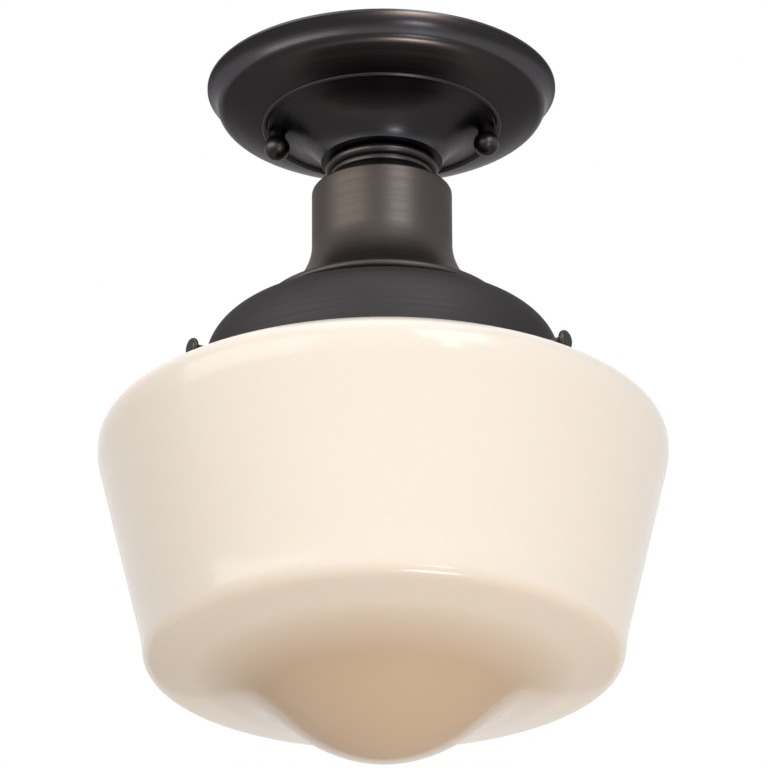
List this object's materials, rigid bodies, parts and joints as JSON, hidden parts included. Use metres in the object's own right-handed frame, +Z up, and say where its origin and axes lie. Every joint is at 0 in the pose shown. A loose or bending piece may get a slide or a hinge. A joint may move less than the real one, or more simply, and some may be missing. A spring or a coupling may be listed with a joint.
{
  "type": "semi flush ceiling light",
  "caption": "Semi-flush ceiling light: dark bronze spun canopy, flared neck and fitter with thumbscrews holding a schoolhouse shade of opal glass.",
  "frame": {"origin": "centre of the mounting bracket's upper face, which lies on the ceiling plane with the canopy's rim", "axes": "+Z up into the ceiling along the centre line, +X through the two ball nuts, +Y towards the first thumbscrew"},
  "size_m": [0.2032, 0.2032, 0.261],
  "materials": {
    "bronze": "satin dark bronze",
    "opal": "glossy cased opal",
    "zinc": "zinc plated",
    "brass": "bright",
    "porcelain": "glazed white",
    "ground": "green passivated"
  },
  "bodies": {
    "fixture": {"mounting_bracket": "zinc", "ground_screw": "ground", "canopy_studs": "zinc", "stud_lock_nuts": "zinc", "canopy": "bronze", "threaded_nipple": "zinc", "canopy_lock_washer": "zinc", "canopy_lock_nut": "zinc", "neck_collar": "bronze", "neck": "bronze", "neck_lock_washer": "zinc", "neck_lock_nut": "zinc", "shade_holder": "bronze", "holder_rivets": "zinc", "threaded_inserts": "bronze", "lampholder_strap": "zinc", "strap_lock_nut": "zinc", "strap_screws": "zinc", "lampholder_body": "porcelain", "terminal_screws": "brass", "screw_shell": "brass", "centre_contact": "brass"},
    "shade": {"glass_shade": "opal"},
    "screw_back": {"thumbscrew_1": "bronze"},
    "screw_left": {"thumbscrew_2": "bronze"},
    "screw_right": {"thumbscrew_3": "bronze"},
    "nut_right": {"ball_nut_1": "bronze"},
    "nut_left": {"ball_nut_2": "bronze"}
  },
  "joints": [
    {"name": "shade_drop", "type": "slide", "parent": "fixture", "child": "shade", "axis": [0, 0, -1], "range_m": [0, 0.014]},
    {"name": "thumbscrew_1_travel", "type": "slide", "parent": "fixture", "child": "screw_back", "axis": [0, 1, 0], "range_m": [0, 0.0084]},
    {"name": "thumbscrew_2_travel", "type": "slide", "parent": "fixture", "child": "screw_left", "axis": [-0.866, -0.5, 0], "range_m": [0, 0.0084]},
    {"name": "thumbscrew_3_travel", "type": "slide", "parent": "fixture", "child": "screw_right", "axis": [0.866, -0.5, 0], "range_m": [0, 0.0084]},
    {"name": "ball_nut_1_travel", "type": "slide", "parent": "fixture", "child": "nut_right", "axis": [0, 0, -1], "range_m": [0, 0.005]},
    {"name": "ball_nut_2_travel", "type": "slide", "parent": "fixture", "child": "nut_left", "axis": [0, 0, -1], "range_m": [0, 0.005]}
  ],
  "couplings": [
    {"joint": "thumbscrew_1_travel", "follows": "shade_drop", "ratio": 0.6},
    {"joint": "thumbscrew_2_travel", "follows": "shade_drop", "ratio": 0.6},
    {"joint": "thumbscrew_3_travel", "follows": "shade_drop", "ratio": 0.6}
  ]
}
